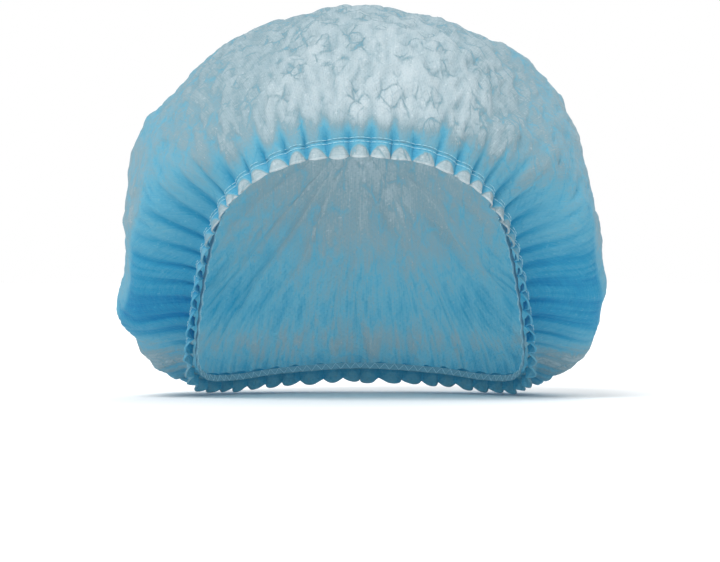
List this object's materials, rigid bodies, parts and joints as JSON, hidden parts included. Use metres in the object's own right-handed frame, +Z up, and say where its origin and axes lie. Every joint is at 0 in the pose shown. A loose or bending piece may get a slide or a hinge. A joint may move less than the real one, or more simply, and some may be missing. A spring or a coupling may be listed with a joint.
{
  "type": "disposable nurse cap",
  "caption": "Soft bouffant cap of thin pleated blue non-woven cloth, gathered on an elastic edge with a scalloped hem, kept in its worn, puffed form.",
  "frame": {"origin": "the inner side of the crown's highest point, where it sits on the wearer's head", "axes": "+Z up, +X towards the viewer's right as the cap faces the viewer, -Y the way the face opening looks, +Y the cap's back"},
  "size_m": [0.2286, 0.2206, 0.1822],
  "materials": {
    "pale_cloth": "matt thin non-woven cloth",
    "doubled_cloth": "matt thin non-woven cloth in two plies",
    "elastic": "matt covered rubber"
  },
  "bodies": {
    "root": {"crown": "pale_cloth", "hem": "doubled_cloth", "elastic": "elastic"}
  },
  "joints": []
}
